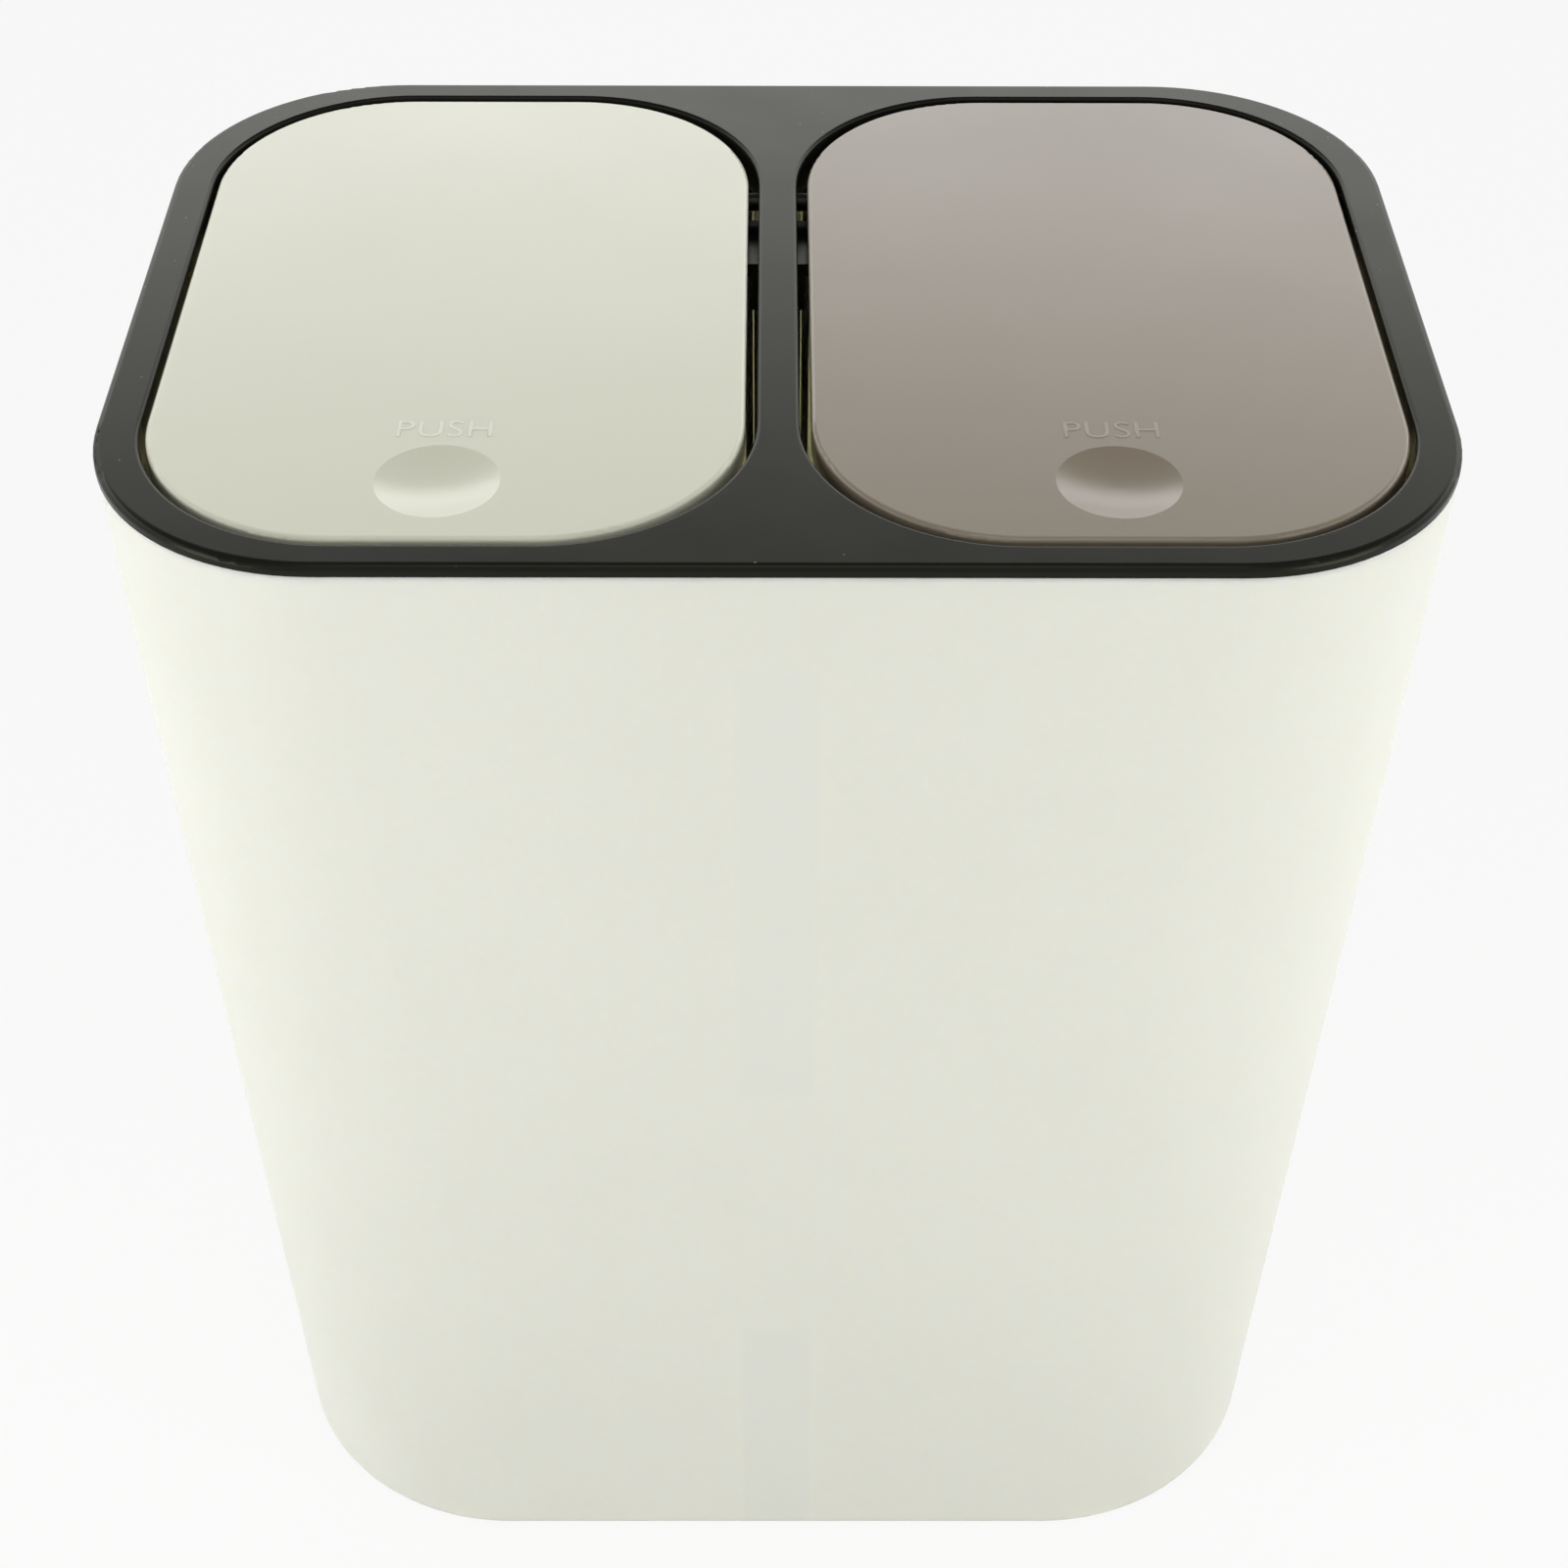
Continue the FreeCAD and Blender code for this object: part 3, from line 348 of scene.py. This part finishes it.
def wound_wire(name, centre, axis, first, heading, wire, turns, pitch, legs):
    """A round wire wound about an axis from its first point, with a straight leg at each end."""
    shape = bmesh.new()
    ring = bmesh.ops.create_circle(shape, segments=WIRE_SIDES, radius=wire / 2)["verts"]
    facing = Vector((0, 0, 1)).rotation_difference(heading).to_matrix().to_4x4()
    bmesh.ops.transform(shape, matrix=Matrix.Translation(first) @ facing, verts=ring)
    steps = round(turns * STEPS_PER_TURN)
    start_edges = shape.edges[:]
    wound = bmesh.ops.spin(
        shape, geom=start_edges, cent=centre, axis=axis, dvec=axis * (pitch * turns / steps),
        angle=2 * math.pi * turns, steps=steps, use_merge=False,
    )["geom_last"]
    end_edges = [item for item in wound if isinstance(item, bmesh.types.BMEdge)]
    start_leg, end_leg = legs
    end_heading = Matrix.Rotation(2 * math.pi * turns, 3, axis) @ heading
    for edges, reach in ((start_edges, -heading * start_leg), (end_edges, end_heading * end_leg)):
        last = edges
        if reach.length > 0:
            grown = bmesh.ops.extrude_edge_only(shape, edges=edges)["geom"]
            moved = [item for item in grown if isinstance(item, bmesh.types.BMVert)]
            bmesh.ops.translate(shape, vec=reach, verts=moved)
            last = [item for item in grown if isinstance(item, bmesh.types.BMEdge)
                    and all(vert in moved for vert in item.verts)]
        bmesh.ops.contextual_create(shape, geom=last)
    bmesh.ops.recalc_face_normals(shape, faces=shape.faces[:])
    for face in shape.faces:
        face.smooth = len(face.verts) == 4
    mesh = bpy.data.meshes.new(name)
    shape.to_mesh(mesh)
    shape.free()
    mesh.materials.append(wire_steel)
    piece = bpy.data.objects.new(name, mesh)
    bpy.context.scene.collection.objects.link(piece)
    return piece


for hand in HANDS:
    node = hand + "_latch_spring"
    low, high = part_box(node)
    centre = (low + high) / 2
    centre.z = low.z
    radius = (high.y - low.y - LATCH_WIRE) / 2
    height = high.z - low.z
    spring = wound_wire(
        hand + "_latch_coil", centre, Vector((0, 0, 1)),
        centre + Vector((radius, 0, LATCH_WIRE / 2)), Vector((0, 1, 0)),
        LATCH_WIRE, LATCH_TURNS, (height - LATCH_WIRE) / LATCH_TURNS, (0, 0),
    )
    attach(spring, "frame")
    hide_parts(node)
    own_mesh(spring)


# Latch screws
# Four pan-head screws, two to a latch, driven through the case's ears into the frame's bosses.
# Zinc-plated steel: pale, slightly mottled and satin.
SCREW_TONES = ("#C6C7C8", "#A9ABAD")
SCREW_ROUGHNESS = (0.28, 0.45)
SCREW_PATCH = 1.5 * MM

dress("latch_screws", steel("zinc_plated_steel", SCREW_TONES, SCREW_ROUGHNESS, SCREW_PATCH))


# Hinge rods
# A plain steel rod carries each lid, turning in the bearing under the bar and the outer boss.
# Blackened steel: dark and low in gloss, rubbed brighter in patches.
ROD_TONES = ("#3A3936", "#262523")
ROD_ROUGHNESS = (0.35, 0.5)
ROD_PATCH = 4 * MM

rod_steel = steel("blackened_steel", ROD_TONES, ROD_ROUGHNESS, ROD_PATCH)
for hand in HANDS:
    dress(hand + "_hinge_rod", rod_steel)


# Torsion springs
# Each is wound round its rod, with one leg on the frame's tongue and the other under the lid.
TORSION_WIRE = 1.0 * MM
TORSION_RADIUS = 3.5 * MM
TORSION_TURNS = 5.5
TORSION_LEG = 18 * MM

joint_places = {joint["name"]: joint.get("pos_m") for joint in frame["joints"]}
for hand, side in (("left", -1), ("right", 1)):
    node = hand + "_torsion_spring"
    low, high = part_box(node)
    inner, outer = (low.x, high.x) if side > 0 else (high.x, low.x)
    inner += side * TORSION_WIRE / 2
    outer -= side * TORSION_WIRE / 2
    hinge = Vector(joint_places[hand + "_lid_swing"])
    start = Vector((inner, hinge.y, hinge.z))
    spring = wound_wire(
        hand + "_torsion_coil", start, Vector((1, 0, 0)),
        start - Vector((0, 0, TORSION_RADIUS)), Vector((0, 1, 0)),
        TORSION_WIRE, TORSION_TURNS, (outer - inner) / TORSION_TURNS, (TORSION_LEG, TORSION_LEG),
    )
    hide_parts(node)
    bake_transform(spring)


# Lids
# Two shallow trays, one cream and one taupe, each with a finger dimple over its latch.
# Moulded polypropylene with a finer, glossier finish than the shell.
LID_PLASTICS = {"left": "cream_polypropylene", "right": "taupe_polypropylene"}
LID_TONES = {"left": ("#D4D5C2", "#D0D1BE"), "right": ("#877D6D", "#837969")}
LID_PATCH = 45 * MM
LID_PATCH_DETAIL = 4.0
LID_ROUGHNESS = (0.2, 0.28)
LID_GRAIN = 0.6 * MM
LID_GRAIN_STRENGTH = 0.03
LID_GRAIN_DEPTH = 0.04 * MM
LID_SCATTER_WEIGHT = 0.15
LID_SCATTER_REACH = 2 * MM
LID_SCATTER_BY_COLOUR = (1.0, 0.9, 0.7)


def lid_polypropylene(name, tones):
    """Semi-gloss polypropylene: faint clouds in the colour and a very fine grain."""
    material, tree, place = new_material(name)
    tone, rough = mottled(tree, place, LID_PATCH, LID_PATCH_DETAIL, tones, LID_ROUGHNESS)
    grain = mould_grain(tree, place, LID_GRAIN, LID_GRAIN_STRENGTH, LID_GRAIN_DEPTH)
    shader = add_node(
        tree, "ShaderNodeBsdfPrincipled", {"Base Color": tone, "Roughness": rough, "Normal": grain},
        inputs={"IOR": POLYPROPYLENE_IOR, "Subsurface Weight": LID_SCATTER_WEIGHT,
                "Subsurface Radius": LID_SCATTER_BY_COLOUR, "Subsurface Scale": LID_SCATTER_REACH},
    )
    finish_material(tree, shader)
    return material


for hand in HANDS:
    dress(hand + "_lid", lid_polypropylene(LID_PLASTICS[hand] + "_gloss", LID_TONES[hand]))


# Lid lettering
# A plain word behind each dimple says where to press, raised in the same shot as the lid.
# Thin rounded strokes an eighth of a millimetre high, coloured a little paler than the lid as a painted
# highlight.
# Painted highlight: the strokes' tones are paler than the lid's, standing in for the gloss on their edges.
LETTER_HIGHLIGHT_TONES = {"left": ("#DFE0CF", "#DCDDCC"), "right": ("#978D7E", "#93897A")}
LETTER_HEIGHT = 5.8 * MM
CAPITAL_SHARE = 0.729
LETTER_SPACING = 1.04
LETTER_RISE = 0.12 * MM
LETTER_SINK = 0.1 * MM
STROKE_ROUNDING_STEPS = 3
WORD_FROM_FRONT = 33.6 * MM

for hand in HANDS:
    low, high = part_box(hand + "_lid")
    words = bpy.data.curves.new(hand + "_push_letters", "FONT")
    words.body = "PUSH"
    words.align_x = "CENTER"
    words.size = LETTER_HEIGHT / CAPITAL_SHARE
    words.space_character = LETTER_SPACING
    words.extrude = LETTER_SINK
    words.bevel_depth = LETTER_RISE
    words.bevel_resolution = STROKE_ROUNDING_STEPS
    words.offset = -LETTER_RISE
    drawn = bpy.data.objects.new(hand + "_push_drawing", words)
    bpy.context.scene.collection.objects.link(drawn)
    bpy.context.view_layer.update()
    mesh = bpy.data.meshes.new_from_object(drawn.evaluated_get(bpy.context.evaluated_depsgraph_get()))
    bpy.data.objects.remove(drawn)
    bpy.data.curves.remove(words)
    word_place = Vector(((low.x + high.x) / 2, low.y + WORD_FROM_FRONT, high.z - LETTER_SINK))
    mesh.transform(Matrix.Translation(word_place))
    mesh.materials.clear()
    mesh.materials.append(lid_polypropylene(LID_PLASTICS[hand] + "_painted_highlight", LETTER_HIGHLIGHT_TONES[hand]))
    letters = bpy.data.objects.new(hand + "_push_letters", mesh)
    bpy.context.scene.collection.objects.link(letters)
    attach(letters, hand + "_lid")


# Floor
# A plain white sweep under the bin, large enough to fill the view.
# It looks white to the camera and in reflections, and still takes the bin's soft shadow.
FLOOR_HALF = 6.0
FLOOR_WHITE = "#CBCBC9"
FLOOR_WHITE_SHARE = 0.88

shape = bmesh.new()
bmesh.ops.create_grid(shape, x_segments=1, y_segments=1, size=FLOOR_HALF)
floor_mesh = bpy.data.meshes.new("floor")
shape.to_mesh(floor_mesh)
shape.free()
floor = bpy.data.objects.new("floor", floor_mesh)
bpy.context.scene.collection.objects.link(floor)


def seen_directly(tree):
    """1 for camera, glossy and transmission rays, so that they all meet the same white."""
    rays = add_node(tree, "ShaderNodeLightPath")
    first = add_node(
        tree, "ShaderNodeMath", {0: rays.outputs["Is Camera Ray"], 1: rays.outputs["Is Glossy Ray"]},
        operation="MAXIMUM",
    )
    either = add_node(
        tree, "ShaderNodeMath", {0: first.outputs[0], 1: rays.outputs["Is Transmission Ray"]},
        operation="MAXIMUM",
    )
    return either.outputs[0]


floor_paper, tree, place = new_material("white_paper_sweep")
paper = add_node(tree, "ShaderNodeBsdfDiffuse", inputs={"Color": linear(FLOOR_WHITE)})
glow = add_node(tree, "ShaderNodeEmission", inputs={"Strength": 1.0})
share = add_node(
    tree, "ShaderNodeMath", {0: seen_directly(tree)}, operation="MULTIPLY", inputs={1: FLOOR_WHITE_SHARE}
)
mixed = add_node(tree, "ShaderNodeMixShader", {0: share.outputs[0], 1: paper.outputs[0], 2: glow.outputs[0]})
finish_material(tree, mixed)
floor_mesh.materials.append(floor_paper)


# Light
# A studio room whose walls brighten to a lit strip, dim behind the camera, under a darker ceiling.
# Soft boxes close to both front corners light the shell's edges more than its middle.
# A third hangs above the camera.
WALL_BEHIND_BIN = 4.6
WALL_BEHIND_CAMERA = 1.0
WALL_FOOT_SHARE = 0.36
STRIP_FROM = math.radians(15)
STRIP_TO = math.radians(26)
CEILING_FROM = math.radians(36)
CEILING_LEVEL = 0.22
STUDIO_WHITE = "#FFFFFF"

# Each box has its place and its side in metres, and its power in watts.
SIDE_BOX_SIZE = 0.3
UPPER_BOX_SIZE = 0.5
SOFT_BOXES = {
    "left_box": ((-0.42, -0.36, 0.28), SIDE_BOX_SIZE, 1.17),
    "right_box": ((0.42, -0.36, 0.28), SIDE_BOX_SIZE, 1.09),
    "upper_box": ((0.0, -0.45, 1.1), UPPER_BOX_SIZE, 1.4),
}

bin_low, bin_high = cad_box
bin_middle = (Vector(bin_low) + Vector(bin_high)) / 2
for name, (box_place, size, power) in SOFT_BOXES.items():
    lamp = bpy.data.lights.new(name, "AREA")
    lamp.shape = "SQUARE"
    lamp.size = size
    lamp.energy = power
    box = bpy.data.objects.new(name, lamp)
    box.location = box_place
    box.rotation_euler = (bin_middle - Vector(box_place)).to_track_quat("-Z", "Y").to_euler()
    box.visible_camera = False
    bpy.context.scene.collection.objects.link(box)

world = bpy.data.worlds.new("studio")
bpy.context.scene.world = world
world.use_nodes = True
tree = world.node_tree
tree.nodes.clear()
direction = add_node(tree, "ShaderNodeTexCoord").outputs["Generated"]
axes = add_node(tree, "ShaderNodeSeparateXYZ", {"Vector": direction})
wall_level = add_node(
    tree, "ShaderNodeMapRange", {"Value": axes.outputs["Y"]},
    inputs={"From Min": -1.0, "From Max": 1.0, "To Min": WALL_BEHIND_CAMERA, "To Max": WALL_BEHIND_BIN},
)
foot_share = add_node(
    tree, "ShaderNodeMapRange", {"Value": axes.outputs["Z"]}, interpolation_type="SMOOTHSTEP",
    inputs={"From Min": math.sin(STRIP_FROM), "From Max": math.sin(STRIP_TO), "To Min": WALL_FOOT_SHARE},
)
strip = add_node(
    tree, "ShaderNodeMath", {0: wall_level.outputs[0], 1: foot_share.outputs[0]}, operation="MULTIPLY"
)
wall = add_node(
    tree, "ShaderNodeMapRange", {"Value": axes.outputs["Z"]}, interpolation_type="SMOOTHSTEP",
    inputs={"From Min": math.sin(CEILING_FROM), "From Max": math.sin(STRIP_TO)},
)
level = add_node(
    tree, "ShaderNodeMapRange", {"Value": wall.outputs[0], "To Max": strip.outputs[0]},
    inputs={"To Min": CEILING_LEVEL},
)
surround = add_node(
    tree, "ShaderNodeBackground", {"Strength": level.outputs[0]}, inputs={"Color": linear(STUDIO_WHITE)}
)
add_node(tree, "ShaderNodeOutputWorld", {"Surface": surround.outputs[0]})
bpy.context.scene.view_settings.view_transform = "Standard"


# Camera
# Above and in front of the bin, tilted down, at the distance that gives the view its converging sides.
# Its place and tilt come from fitting the frame's outline and the shell's silhouette to the picture.
CAMERA_PLACE = Vector((-1.18, -515.48, 612.65)) * MM
CAMERA_PITCH = math.radians(40.453)
CAMERA_YAW = math.radians(0.322)
CAMERA_ROLL = math.radians(0.270)
LENS_MM = 65.547
SENSOR_MM = 36.0
NEAREST_SEEN = 10 * MM

lens = bpy.data.cameras.new("camera")
lens.lens = LENS_MM
lens.sensor_width = SENSOR_MM
lens.clip_start = NEAREST_SEEN
camera = bpy.data.objects.new("camera", lens)
camera.matrix_world = (
    Matrix.Translation(CAMERA_PLACE)
    @ Matrix.Rotation(-CAMERA_YAW, 4, "Z")
    @ Matrix.Rotation(math.pi / 2 - CAMERA_PITCH, 4, "X")
    @ Matrix.Rotation(CAMERA_ROLL, 4, "Z")
)
bpy.context.scene.collection.objects.link(camera)
bpy.context.scene.camera = camera
